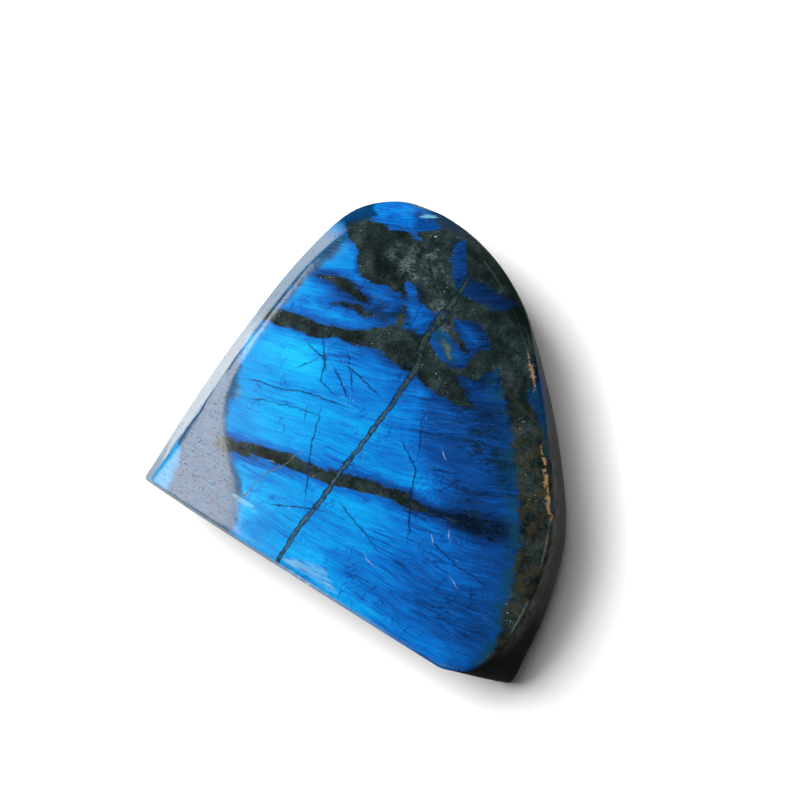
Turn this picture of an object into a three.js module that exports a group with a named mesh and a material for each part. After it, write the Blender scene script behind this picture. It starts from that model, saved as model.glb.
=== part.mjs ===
// A polished labradorite freeform: one solid piece of feldspar with a gently domed flash face,
// ground side walls, a flat back and a flat sawn base that it can stand on.
// It lies on its back with the flash face up. Millimetres, +Z up, +Y from the sawn base to the rounded top.
import * as THREE from "three";

// Driving dimensions
const THICKNESS_AT_LEFT = 34.6; // back to flash face, at the left end of the sawn base
const THICKNESS_AT_RIGHT = 30.4; // the same at the right-hand wall
const RIGHT_X = 110; // where the flash face ends at the right
const CROWN = 1.3; // how far the flash face bulges over its middle
const CROWN_CENTRE = [55, 46];
const CROWN_REACH = [62, 58]; // half-lengths over which the crown falls away, along X and Y
const BASE_EDGE = 2; // rounding between the sawn base and the back
const WAIST_HEIGHT = 13; // height of the widest level of the side wall
const WAIST_RUN_UP = 1.6; // stations over which the waist climbs to that height from either end of the base
const FULLNESS = 0.8; // how far the side wall swells between its waist and its rim

// The polished left margin droops away from the flash face, most of all at the lower left corner.
const DROOP_SLOPE = 0.17; // its fall at the very edge
const DROOP_WIDTH = 1; // along the upper left edge
const DROOP_CORNER = 30; // extra width at the lower left corner
const DROOP_REACH = 22; // how far up the edge the extra width lasts
const LEFT_EDGE_LEAN = 0.105; // the left edge moves right by this much for each millimetre up

// A shallow dent in the polish on the crest of the rounded top
const DENT = { at: [27.5, 104.5, 25], radius: 4, depth: 0.9 };

// Contour lines round the stone, from the right end of the sawn base over the top and down to its left end.
// Station by station they run beside each other, from the crest of the flash face out and down to the back.
const CREST = [
  [97.4, 0.9], [103.4, 3.8], [108.5, 14.1], [108.4, 30.2], [103, 48.9], [92, 65], [78.2, 81.3],
  [65.4, 92.4], [52.1, 99.5], [38.2, 102.2], [26.2, 99.8], [16.9, 91.4], [10.8, 75.4], [6.9, 48.7],
  [4.5, 21.6], [2.1, 0.9],
];
const RIM = [
  [98, 0], [104.3, 3], [109.4, 13.9], [109.3, 30.4], [103.9, 49.3], [92.9, 65.6], [79.2, 82.1],
  [66.9, 94.6], [52.7, 101.8], [38.6, 104.7], [24.8, 103.4], [13.4, 94.1], [7.7, 75.4], [3.9, 48.7],
  [1.6, 21.6], [0.1, 0],
];
const WAIST = [
  [109.6, 0], [114, 3.2], [114.2, 13.4], [112, 29.4], [106.4, 47], [94.8, 63.6], [79.6, 80.4], [65.4, 92],
  [51.4, 99.2], [37.4, 102], [22.6, 100.8], [10.8, 92], [5.6, 75], [1.8, 48.4], [-0.4, 21.4], [-1, 0],
];
const FOOT = [
  [105, 2], [107.5, 5], [105.5, 14.4], [102.5, 27.4], [96, 43.4], [85.5, 58], [72.5, 72.4], [61, 83],
  [49, 90], [37, 92], [27, 89], [20, 80.4], [16, 66.4], [12, 44.4], [9.5, 21.4], [8, 2],
];
// At the same stations: the fall from crest to rim, then the width and fall of the shoulder inside the crest
const RIM_FALL = [0.6, 0.8, 0.8, 0.8, 0.8, 0.9, 1.2, 2.8, 4.4, 5, 4.8, 2.6, 0.7, 0.5, 0.5, 0.6];
const SHOULDER_WIDTH = [4, 8, 7, 5, 4, 5, 7, 10, 14, 15, 12, 7, 4, 3, 3, 3];
const SHOULDER_FALL = [0.2, 0.8, 0.6, 0.4, 0.3, 0.4, 0.8, 1.6, 2.6, 2.8, 2, 0.7, 0.2, 0.1, 0.1, 0.1];
const LAST = CREST.length - 1;

const CORNER_ROUNDING = 1.4; // where the sawn base meets the side wall

// Mesh divisions
const CORNER_STEPS = 3;
const BASE_STEPS = 22;
const STEPS_PER_STATION = 7;
const ROLL_RINGS = 5;
const WALL_RINGS = 5;
const FLASH_RINGS = 12;
const BACK_RINGS = 2;

const mix = (a, b, t) => a + (b - a) * t;
const mixPoint = (a, b, t) => a.map((value, i) => mix(value, b[i], t));

// Centripetal Catmull-Rom through a list of points, read at a station number that may be a fraction.
function splineAt(points, station) {
  const last = points.length - 1;
  const i = Math.min(Math.floor(station), last - 1);
  const beyond = (end, inner) => end.map((value, axis) => 2 * value - inner[axis]);
  const p = [
    i > 0 ? points[i - 1] : beyond(points[0], points[1]),
    points[i],
    points[i + 1],
    i + 2 <= last ? points[i + 2] : beyond(points[last], points[last - 1]),
  ];
  const knots = [0];
  for (let k = 0; k < 3; k++) {
    knots.push(knots[k] + Math.sqrt(Math.hypot(...p[k].map((value, axis) => value - p[k + 1][axis]))));
  }
  const t = mix(knots[1], knots[2], station - i);
  const blend = (a, b, from, to) => mixPoint(a, b, (t - knots[from]) / (knots[to] - knots[from]));
  const a = [0, 1, 2].map((k) => blend(p[k], p[k + 1], k, k + 1));
  const b = [0, 1].map((k) => blend(a[k], a[k + 1], k, k + 2));
  return blend(b[0], b[1], 1, 2);
}

function numberAt(values, station) {
  const i = Math.min(Math.floor(station), LAST - 1);
  return mix(values[i], values[i + 1], THREE.MathUtils.smoothstep(station - i, 0, 1));
}

// The walk round the stone: along the sawn base from left to right, round its right corner, over the side
// and round its left corner. Each place is a part of the walk and a share of that part.
function walk() {
  const places = [];
  for (let i = 0; i <= BASE_STEPS; i++) places.push({ part: "base", t: i / BASE_STEPS });
  for (let i = 1; i <= CORNER_STEPS; i++) places.push({ part: "rightCorner", t: i / CORNER_STEPS });
  const steps = LAST * STEPS_PER_STATION;
  for (let i = 1; i < steps; i++) places.push({ part: "side", t: i / steps });
  for (let i = 0; i < CORNER_STEPS; i++) places.push({ part: "leftCorner", t: i / CORNER_STEPS });
  return places;
}

const distance = (a, b) => Math.hypot(a[0] - b[0], a[1] - b[1]);

// The point of a contour at one place of the walk. A corner curves from the base to a little way up the side.
function contourPoint(contour, { part, t }) {
  const right = contour[0];
  const left = contour[LAST];
  const baseY = right[1];
  const baseRight = [right[0] - CORNER_ROUNDING, baseY];
  const baseLeft = [left[0] + CORNER_ROUNDING, baseY];
  const sideStart = CORNER_ROUNDING / distance(right, contour[1]);
  const sideEnd = LAST - CORNER_ROUNDING / distance(left, contour[LAST - 1]);
  const roundOff = (a, corner, b) => mixPoint(mixPoint(a, corner, t), mixPoint(corner, b, t), t);
  if (part === "base") return mixPoint(baseLeft, baseRight, t);
  if (part === "rightCorner") return roundOff(baseRight, right, splineAt(contour, sideStart));
  if (part === "leftCorner") return roundOff(splineAt(contour, sideEnd), left, baseLeft);
  return splineAt(contour, mix(sideStart, sideEnd, t));
}

// Height of the flash face over a point, before the shoulder rolls off
function flashHeight([x, y]) {
  const thickness = mix(THICKNESS_AT_LEFT, THICKNESS_AT_RIGHT, x / RIGHT_X);
  const u = (x - CROWN_CENTRE[0]) / CROWN_REACH[0];
  const v = (y - CROWN_CENTRE[1]) / CROWN_REACH[1];
  const width = DROOP_WIDTH + DROOP_CORNER * Math.exp(-((y / DROOP_REACH) ** 2));
  const inside = x - CREST[LAST][0] - LEFT_EDGE_LEAN * y;
  const droop = (0.5 * DROOP_SLOPE * Math.max(0, width - inside) ** 2) / width;
  return thickness - CROWN * (u * u + v * v) - droop;
}

// How far the waist stands above the back: low along the sawn base, full height round the sides
function waistHeight({ part, t }) {
  if (part !== "side") return BASE_EDGE;
  const fromCorner = Math.min(t, 1 - t) * LAST;
  return mix(BASE_EDGE, WAIST_HEIGHT, THREE.MathUtils.smoothstep(fromCorner, 0, WAIST_RUN_UP));
}

// What the stone's section looks like at one place of the walk
function sectionAt(place) {
  const onSide = place.part === "side";
  const station = onSide ? place.t * LAST : LAST;
  const crest = contourPoint(CREST, place);
  const shoulderFall = numberAt(SHOULDER_FALL, station);
  const crestHeight = flashHeight(crest) - shoulderFall;
  return {
    crest,
    shoulderFall,
    shoulderWidth: numberAt(SHOULDER_WIDTH, station),
    rim: contourPoint(RIM, place),
    rimHeight: crestHeight - numberAt(RIM_FALL, station),
    waist: contourPoint(WAIST, place),
    waistHeight: waistHeight(place),
    foot: contourPoint(FOOT, place),
    fullness: onSide ? FULLNESS * Math.sqrt(Math.sin(Math.PI * place.t)) : 0,
  };
}

const MIDDLE = CROWN_CENTRE;

// Points of one section, each for a share from 0 to 1 of its own stretch
const onBack = ({ foot }, share) => [...mixPoint(MIDDLE, foot, share), 0];

function onRoll({ foot, waist, waistHeight: height }, share) {
  const angle = (share * Math.PI) / 2;
  return [...mixPoint(foot, waist, Math.sin(angle)), height * (1 - Math.cos(angle))];
}

function onWall({ waist, waistHeight: low, rim, rimHeight: high, fullness }, share) {
  const [x, y] = mixPoint(waist, rim, share);
  const swell = (fullness * 4 * share * (1 - share)) / distance([x, y], MIDDLE);
  return [x + (x - MIDDLE[0]) * swell, y + (y - MIDDLE[1]) * swell, mix(low, high, share)];
}

function onFlash({ crest, shoulderFall, shoulderWidth }, share) {
  const point = mixPoint(MIDDLE, crest, share);
  const shoulder = Math.max(0, 1 - distance(point, crest) / shoulderWidth);
  return [...point, flashHeight(point) - shoulderFall * shoulder ** 2];
}

// Every ring of the stone, from the middle of the back up the wall and in to the middle of the flash face
function rings() {
  const sections = walk().map(sectionAt);
  const layers = [];
  const addRings = (pointAt, shares) => {
    for (const share of shares) layers.push(sections.map((section) => pointAt(section, share)));
  };
  const sharesOf = (count) => Array.from({ length: count }, (_, i) => (i + 1) / count);
  addRings(onBack, sharesOf(BACK_RINGS));
  addRings(onRoll, sharesOf(ROLL_RINGS));
  addRings(onWall, sharesOf(WALL_RINGS));
  addRings(onFlash, sharesOf(FLASH_RINGS).reverse());
  return layers;
}

// Pushes a point in from the top where the dent is
function dented([x, y, z]) {
  const away = Math.hypot(x - DENT.at[0], y - DENT.at[1], z - DENT.at[2]);
  const push = DENT.depth * Math.exp(-((away / DENT.radius) ** 2));
  return [x, y - push, z];
}

function stoneGeometry() {
  const layers = rings();
  const count = layers[0].length;
  const backMiddle = [...MIDDLE, 0];
  const flashMiddle = [...MIDDLE, flashHeight(MIDDLE)];
  const points = [backMiddle, ...layers.flat().map(dented), flashMiddle];
  const top = points.length - 1;
  const at = (ring, i) => 1 + ring * count + (i % count);
  const faces = [];
  for (let i = 0; i < count; i++) faces.push([0, at(0, i + 1), at(0, i)]);
  for (let ring = 0; ring < layers.length - 1; ring++) {
    for (let i = 0; i < count; i++) {
      const [a, b, c, d] = [at(ring, i), at(ring, i + 1), at(ring + 1, i + 1), at(ring + 1, i)];
      faces.push([a, b, c], [a, c, d]);
    }
  }
  for (let i = 0; i < count; i++) faces.push([at(layers.length - 1, i), at(layers.length - 1, i + 1), top]);
  const geometry = new THREE.BufferGeometry();
  geometry.setAttribute("position", new THREE.Float32BufferAttribute(points.flat(), 3));
  geometry.setIndex(faces.flat());
  geometry.computeVertexNormals();
  return geometry;
}

// Polished labradorite: blue flash over dark grey-green feldspar
const polishedLabradorite = new THREE.MeshStandardMaterial({
  color: new THREE.Color(0.03, 0.2, 0.55),
  roughness: 0.12,
  metalness: 0,
});

const stone = new THREE.Mesh(stoneGeometry(), polishedLabradorite);
stone.name = "labradorite_stone";

// The frame's origin is under the middle of the stone, on the surface that it lies on.
const box = new THREE.Box3().setFromObject(stone);
const middleOfBox = box.getCenter(new THREE.Vector3());
stone.position.set(-middleOfBox.x, -middleOfBox.y, -box.min.z);

const freeform = new THREE.Group();
freeform.add(stone);
export default freeform;
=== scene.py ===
"""Looks of a polished labradorite freeform: its fine surface, its blue flash and the studio it lies in."""
import math

import bpy
import numpy as np
from mathutils import Matrix, Vector, noise as value_noise


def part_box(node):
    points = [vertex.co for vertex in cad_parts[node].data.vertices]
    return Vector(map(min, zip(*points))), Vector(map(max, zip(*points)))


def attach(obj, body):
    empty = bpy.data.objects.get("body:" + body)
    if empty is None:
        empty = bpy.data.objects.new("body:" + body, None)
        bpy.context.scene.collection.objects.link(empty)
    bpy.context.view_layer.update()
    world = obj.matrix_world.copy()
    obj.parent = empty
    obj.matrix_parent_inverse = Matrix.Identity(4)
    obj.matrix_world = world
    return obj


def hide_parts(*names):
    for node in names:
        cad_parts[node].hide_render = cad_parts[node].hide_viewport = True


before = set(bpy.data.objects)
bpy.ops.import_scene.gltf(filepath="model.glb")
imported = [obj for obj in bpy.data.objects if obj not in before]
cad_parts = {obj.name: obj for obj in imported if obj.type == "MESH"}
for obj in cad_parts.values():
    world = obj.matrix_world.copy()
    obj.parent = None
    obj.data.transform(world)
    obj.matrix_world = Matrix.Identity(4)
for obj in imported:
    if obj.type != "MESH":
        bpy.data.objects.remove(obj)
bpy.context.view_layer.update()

MM = 0.001
STONE = "labradorite_stone"

# The camera looks almost straight down, tilted so that the right-hand wall shows, and is turned on its axis.
AIM = (-5.8, 4.0, 31)  # point of the stone at the middle of the picture, in mm
TILT = math.radians(12)
TURN = math.radians(31.3)
DISTANCE = 700
PICTURE_WIDTH = 216  # how much is seen at that distance, in mm
SENSOR = 36
NEAREST = 10  # the camera sees nothing that is closer than this, in mm

# The studio: soft lights from the picture's upper left and from its top, a screen at its left that only the
# polish mirrors, and a low fill that is dark overhead. Each lamp has its slant from straight up, its bearing
# from the picture's right towards its top, its width across and along, its power, and whether it is what the
# polish mirrors.
LAMPS = {
    "key": (34, 137, 1500, 1500, 97, False),
    "top": (22, 90, 1300, 1300, 25, False),
    "screen": (30.4, 178, 1080, 1100, 45, True),
}
LAMP_DISTANCE = 2500
FILL_OVERHEAD = 0.01
FILL_LOW = 0.25
FILL_CHANGE = (0.75, 0.25)  # how high in the sky the change from one to the other starts and ends
BRIGHTNESS = 1.3  # how bright the studio makes a white surface
FLOOR_SIZE = 6000
FLOOR_COLOUR = (0.9, 0.9, 0.895)
FLOOR_ROUGHNESS = 0.7
FLOOR_SPECULAR = 0.1
FLOOR_LEVEL = -0.1  # just under the stone, so that the two don't share a plane

# The stone's own shape, as in its solid: millimetres from the left end of the sawn base, on the back's level
THICKNESS_AT_LEFT = 34.6
THICKNESS_AT_RIGHT = 30.4
RIGHT_X = 110
CROWN = 1.3
CROWN_CENTRE = (55, 46)
CROWN_REACH = (62, 58)
BASE_EDGE = 2
WAIST_HEIGHT = 13
WAIST_RUN_UP = 1.6
FULLNESS = 0.8
DROOP_SLOPE = 0.17
DROOP_WIDTH = 1
DROOP_CORNER = 30
DROOP_REACH = 22
LEFT_EDGE_LEAN = 0.105
DENT_AT = (27.5, 104.5, 25)
DENT_RADIUS = 4
DENT_DEPTH = 0.9
CORNER_ROUNDING = 1.4
CREST = [
    (97.4, 0.9), (103.4, 3.8), (108.5, 14.1), (108.4, 30.2), (103, 48.9), (92, 65), (78.2, 81.3),
    (65.4, 92.4), (52.1, 99.5), (38.2, 102.2), (26.2, 99.8), (16.9, 91.4), (10.8, 75.4), (6.9, 48.7),
    (4.5, 21.6), (2.1, 0.9),
]
RIM = [
    (98, 0), (104.3, 3), (109.4, 13.9), (109.3, 30.4), (103.9, 49.3), (92.9, 65.6), (79.2, 82.1),
    (66.9, 94.6), (52.7, 101.8), (38.6, 104.7), (24.8, 103.4), (13.4, 94.1), (7.7, 75.4), (3.9, 48.7),
    (1.6, 21.6), (0.1, 0),
]
WAIST = [
    (109.6, 0), (114, 3.2), (114.2, 13.4), (112, 29.4), (106.4, 47), (94.8, 63.6), (79.6, 80.4), (65.4, 92),
    (51.4, 99.2), (37.4, 102), (22.6, 100.8), (10.8, 92), (5.6, 75), (1.8, 48.4), (-0.4, 21.4), (-1, 0),
]
FOOT = [
    (105, 2), (107.5, 5), (105.5, 14.4), (102.5, 27.4), (96, 43.4), (85.5, 58), (72.5, 72.4), (61, 83),
    (49, 90), (37, 92), (27, 89), (20, 80.4), (16, 66.4), (12, 44.4), (9.5, 21.4), (8, 2),
]
RIM_FALL = [0.6, 0.8, 0.8, 0.8, 0.8, 0.9, 1.2, 2.8, 4.4, 5, 4.8, 2.6, 0.7, 0.5, 0.5, 0.6]
SHOULDER_WIDTH = [4, 8, 7, 5, 4, 5, 7, 10, 14, 15, 12, 7, 4, 3, 3, 3]
SHOULDER_FALL = [0.2, 0.8, 0.6, 0.4, 0.3, 0.4, 0.8, 1.6, 2.6, 2.8, 2, 0.7, 0.2, 0.1, 0.1, 0.1]
LAST = len(CREST) - 1

# Wear and polishing marks that only the fine surface has
CHIPS = [  # flakes off the sawn edge: x, y, radius and depth
    (46.4, 0.2, 1.5, 0.5), (48.8, -0.2, 2.2, 0.9), (51.8, 0.3, 1.8, 0.6), (54.6, -0.1, 2.4, 0.8),
    (57.4, 0.2, 1.6, 0.5), (60.2, -0.3, 1.9, 0.6), (63.4, 0, 1.4, 0.4), (71.4, -0.1, 1.1, 0.3),
    (83, -0.2, 1.3, 0.4), (34, -0.1, 0.9, 0.3),
]
GROOVE_INSIDE = -0.4  # where the groove runs, measured inwards from the left-hand crest
GROOVE_WIDTH = 0.22
GROOVE_DEPTH = 0.05
GROOVE_FADES_IN = (4, 12)  # it starts at the first y and is in full at the second
GROOVE_FADES_OUT = (97, 90)  # the same at its upper end
GROOVE_AT_LEFT = (30, 20)  # the same in x, as it is only at the left
GROOVE_SWAYS = [(0.25, 0.31), (0.15, 0.83)]  # how far it sways to either side, and how fast along y
POLISHED_BEYOND_CREST = 0.5  # further out than this the stone is ground but not polished
POLISHED_BEVEL = 9  # the same at the left side and at the sawn edge, where the whole bevel is polished
LEFT_BEVEL_ENDS = (39, 90)  # x and y up to which the polished bevel of the left side goes
SAWN_BEVEL_ENDS = (95, 1.2)  # the same for the bevel of the sawn edge
SETBACK = 0.02  # the least that the fine surface lies inside the solid
FLAT_BELOW = 0.5  # below this height it has no setback, so that the back lies flat
WAVINESS = 0.045
WAVES = [(0.045, 0.8), (0.16, 0.24)]  # waves in the polish: how close together they are, and how strong
MIDDLE_INSIDE = 60.0  # the distance from the crest that the middles of the face and the back are given

# Mesh divisions of the fine surface
BASE_STEPS = 190
CORNER_STEPS = 6
STEPS_PER_STATION = 26
BACK_RINGS = 6
ROLL_RINGS = 14
WALL_RINGS = 24
EDGE_SHARES = [0.05, 0.15, 0.35, 0.55, 0.75, 0.9, 1]
FLASH_RINGS = 110


# The fine surface

def mix(a, b, t):
    return a + (b - a) * t


def smoothstep(value, low, high):
    t = min(max((value - low) / (high - low), 0), 1)
    return t * t * (3 - 2 * t)


def mix_point(a, b, t):
    return tuple(mix(p, q, t) for p, q in zip(a, b))


def spline_at(points, station):
    """Centripetal Catmull-Rom through a list of points, read at a station number that may be a fraction."""
    last = len(points) - 1
    i = min(int(station), last - 1)

    def beyond(end, inner):
        return tuple(2 * e - n for e, n in zip(end, inner))

    p = [
        points[i - 1] if i > 0 else beyond(points[0], points[1]),
        points[i],
        points[i + 1],
        points[i + 2] if i + 2 <= last else beyond(points[last], points[last - 1]),
    ]
    knots = [0.0]
    for k in range(3):
        knots.append(knots[k] + math.sqrt(math.dist(p[k], p[k + 1])))
    t = mix(knots[1], knots[2], station - i)

    def blend(a, b, start, end):
        return mix_point(a, b, (t - knots[start]) / (knots[end] - knots[start]))

    a = [blend(p[k], p[k + 1], k, k + 1) for k in range(3)]
    b = [blend(a[k], a[k + 1], k, k + 2) for k in range(2)]
    return blend(b[0], b[1], 1, 2)


def number_at(values, station):
    i = min(int(station), LAST - 1)
    return mix(values[i], values[i + 1], smoothstep(station - i, 0, 1))


def walk():
    """Round the stone: along the sawn base, round its right corner, over the side, round its left corner."""
    places = [("base", i / BASE_STEPS) for i in range(BASE_STEPS + 1)]
    places += [("right corner", i / CORNER_STEPS) for i in range(1, CORNER_STEPS + 1)]
    steps = LAST * STEPS_PER_STATION
    places += [("side", i / steps) for i in range(1, steps)]
    places += [("left corner", i / CORNER_STEPS) for i in range(CORNER_STEPS)]
    return places


def contour_point(contour, place):
    part, t = place
    right, left = contour[0], contour[LAST]
    base_right = (right[0] - CORNER_ROUNDING, right[1])
    base_left = (left[0] + CORNER_ROUNDING, right[1])
    side_start = CORNER_ROUNDING / math.dist(right, contour[1])
    side_end = LAST - CORNER_ROUNDING / math.dist(left, contour[LAST - 1])

    def round_off(a, corner, b):
        return mix_point(mix_point(a, corner, t), mix_point(corner, b, t), t)

    if part == "base":
        return mix_point(base_left, base_right, t)
    if part == "right corner":
        return round_off(base_right, right, spline_at(contour, side_start))
    if part == "left corner":
        return round_off(spline_at(contour, side_end), left, base_left)
    return spline_at(contour, mix(side_start, side_end, t))


def flash_height(x, y):
    thickness = mix(THICKNESS_AT_LEFT, THICKNESS_AT_RIGHT, x / RIGHT_X)
    u = (x - CROWN_CENTRE[0]) / CROWN_REACH[0]
    v = (y - CROWN_CENTRE[1]) / CROWN_REACH[1]
    width = DROOP_WIDTH + DROOP_CORNER * math.exp(-((y / DROOP_REACH) ** 2))
    inside = x - CREST[LAST][0] - LEFT_EDGE_LEAN * y
    droop = 0.5 * DROOP_SLOPE * max(0, width - inside) ** 2 / width
    return thickness - CROWN * (u * u + v * v) - droop


def section_at(place):
    """The stone's section at one place of the walk."""
    part, t = place
    on_side = part == "side"
    station = t * LAST if on_side else LAST
    crest = contour_point(CREST, place)
    shoulder_fall = number_at(SHOULDER_FALL, station)
    crest_height = flash_height(*crest) - shoulder_fall
    waist_height = BASE_EDGE
    if on_side:
        waist_height = mix(BASE_EDGE, WAIST_HEIGHT, smoothstep(min(t, 1 - t) * LAST, 0, WAIST_RUN_UP))
    return {
        "crest": crest,
        "crest height": crest_height,
        "shoulder fall": shoulder_fall,
        "shoulder width": number_at(SHOULDER_WIDTH, station),
        "rim": contour_point(RIM, place),
        "rim height": crest_height - number_at(RIM_FALL, station),
        "waist": contour_point(WAIST, place),
        "waist height": waist_height,
        "foot": contour_point(FOOT, place),
        "fullness": FULLNESS * math.sqrt(math.sin(math.pi * t)) if on_side else 0,
    }


def on_back(section, share):
    return (*mix_point(CROWN_CENTRE, section["foot"], share), 0)


def on_roll(section, share):
    angle = share * math.pi / 2
    x, y = mix_point(section["foot"], section["waist"], math.sin(angle))
    return (x, y, section["waist height"] * (1 - math.cos(angle)))


def on_wall(section, share):
    x, y = mix_point(section["waist"], section["rim"], share)
    swell = section["fullness"] * 4 * share * (1 - share) / math.dist((x, y), CROWN_CENTRE)
    height = mix(section["waist height"], section["rim height"], share)
    return (mix(x, 2 * x - CROWN_CENTRE[0], swell), mix(y, 2 * y - CROWN_CENTRE[1], swell), height)


def on_edge(section, share):
    x, y = mix_point(section["rim"], section["crest"], share)
    return (x, y, mix(section["rim height"], section["crest height"], share))


def on_flash(section, share):
    point = mix_point(CROWN_CENTRE, section["crest"], share)
    shoulder = max(0, 1 - math.dist(point, section["crest"]) / section["shoulder width"])
    return (*point, flash_height(*point) - section["shoulder fall"] * shoulder**2)


def dented(point):
    away = math.dist(point, DENT_AT)
    return (point[0], point[1] - DENT_DEPTH * math.exp(-((away / DENT_RADIUS) ** 2)), point[2])


def chipped(point):
    """Lowers a point to the floor of any flake that has come off the sawn edge there."""
    x, y, z = point
    for at_x, at_y, radius, depth in CHIPS:
        away = math.dist((x, y), (at_x, at_y)) / radius
        if away < 1:
            z = min(z, flash_height(at_x, at_y) - depth * (1 - away**2))
    return (x, y, z)


def grooved(point, inside):
    """A fine groove in the polish that follows the left-hand crest."""
    x, y, z = point
    run = smoothstep(y, *GROOVE_FADES_IN) * smoothstep(y, *GROOVE_FADES_OUT) * smoothstep(x, *GROOVE_AT_LEFT)
    wander = GROOVE_INSIDE
    for sway, pace in GROOVE_SWAYS:
        wander += sway * math.sin(y * pace)
    return (x, y, z - GROOVE_DEPTH * run * math.exp(-(((inside - wander) / GROOVE_WIDTH) ** 2)))


def shares(count):
    return [(i + 1) / count for i in range(count)]


def stone_mesh():
    """The fine surface in the stone's own millimetres, from the middle of the back to the middle of the face.

    With it come how far inside the crest each point lies, and the number of the rim's first point.
    """
    sections = [section_at(place) for place in walk()]
    count = len(sections)
    points = [(*CROWN_CENTRE, 0)]
    inside = [-MIDDLE_INSIDE]
    layers = [
        (on_back, shares(BACK_RINGS)),
        (on_roll, shares(ROLL_RINGS)),
        (on_wall, shares(WALL_RINGS)),
        (on_edge, EDGE_SHARES),
        (on_flash, shares(FLASH_RINGS)[-2::-1]),  # inwards from the crest, which is the edge's last ring
    ]
    for shape, ring_shares in layers:
        for share in ring_shares:
            for section in sections:
                point = shape(section, share)
                away = math.dist(point, (*section["crest"], section["crest height"]))
                inside.append(away if shape is on_flash else -away)
                points.append(grooved(chipped(dented(point)), inside[-1]))
    points.append((*CROWN_CENTRE, flash_height(*CROWN_CENTRE)))
    inside.append(MIDDLE_INSIDE)
    rings = (len(points) - 2) // count
    top = len(points) - 1

    def at(ring, i):
        return 1 + ring * count + i % count

    faces = [(0, at(0, i + 1), at(0, i)) for i in range(count)]
    for ring in range(rings - 1):
        for i in range(count):
            faces.append((at(ring, i), at(ring, i + 1), at(ring + 1, i + 1), at(ring + 1, i)))
    faces += [(at(rings - 1, i), at(rings - 1, i + 1), top) for i in range(count)]
    first_rim_point = 1 + (BACK_RINGS + ROLL_RINGS + WALL_RINGS - 1) * count
    return points, faces, inside, first_rim_point


def dip(point):
    """How far the polish dips at a point, in mm."""
    height = 1
    for closeness, share in WAVES:
        height += share * value_noise.noise(Vector(point) * closeness)
    return WAVINESS * max(0, height)


def polish_reach(point):
    """How far beyond the crest the polish goes at a point, in mm."""
    x, y, _ = point
    on_left_bevel = x < LEFT_BEVEL_ENDS[0] and y < LEFT_BEVEL_ENDS[1]
    on_sawn_bevel = x < SAWN_BEVEL_ENDS[0] and y < SAWN_BEVEL_ENDS[1]
    return POLISHED_BEVEL if on_left_bevel or on_sawn_bevel else POLISHED_BEYOND_CREST


def make_stone():
    """The stone where its solid lies, and the shift in mm from its own millimetres to there.

    Its first material slot is for the polished faces and its second for the ground ones.
    """
    points, faces, inside, first_rim_point = stone_mesh()
    own = np.array(points)
    low_corner = np.array(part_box(STONE)[0])
    shift = low_corner / MM - own.min(0)
    mesh = bpy.data.meshes.new("polished_stone")
    mesh.from_pydata([tuple(p) for p in own + shift], [], faces)
    mesh.update()
    normals = np.zeros(own.size)
    mesh.vertices.foreach_get("normal", normals)
    dips = np.array([SETBACK + dip(point) for point in points])
    dips[own[:, 2] < FLAT_BELOW] = 0
    settled = own + shift - normals.reshape(-1, 3) * dips[:, None]
    mesh.vertices.foreach_set("co", (settled * MM).ravel())
    corners = np.zeros(len(mesh.loops), dtype=np.int32)
    mesh.loops.foreach_get("vertex_index", corners)
    first_corners = np.zeros(len(mesh.polygons), dtype=np.int32)
    mesh.polygons.foreach_get("loop_start", first_corners)
    within_polish = np.array(inside) + [polish_reach(point) for point in points]
    within_polish[:first_rim_point] = -1  # nothing is polished below the rim
    outermost = np.minimum.reduceat(within_polish[corners], first_corners)
    mesh.polygons.foreach_set("material_index", (outermost < 0).astype(np.int32))
    mesh.update()
    mesh.polygons.foreach_set("use_smooth", [True] * len(mesh.polygons))
    attribute = mesh.attributes.new("inside_crest", "FLOAT", "POINT")
    attribute.data.foreach_set("value", inside)
    stone = bpy.data.objects.new("polished_stone", mesh)
    bpy.context.scene.collection.objects.link(stone)
    return stone, shift


# Camera, light and floor

def picture_axes():
    """The picture's right, its up and the way towards the camera, in the stone's frame."""
    across = Vector((math.cos(TURN), math.sin(TURN), 0))
    up = Vector((-math.sin(TURN), math.cos(TURN), 0))
    vertical = Vector((0, 0, 1))
    towards = across * math.sin(TILT) + vertical * math.cos(TILT)
    right = across * math.cos(TILT) - vertical * math.sin(TILT)
    return right, up, towards


def make_camera():
    right, up, towards = picture_axes()
    camera = bpy.data.cameras.new("camera")
    camera.sensor_width = SENSOR
    camera.lens = SENSOR * DISTANCE / PICTURE_WIDTH
    camera.clip_start = NEAREST * MM
    holder = bpy.data.objects.new("camera", camera)
    axes = Matrix((right, up, towards)).transposed().to_4x4()
    holder.matrix_world = Matrix.Translation((Vector(AIM) + towards * DISTANCE) * MM) @ axes
    bpy.context.scene.collection.objects.link(holder)
    bpy.context.scene.camera = holder


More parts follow.
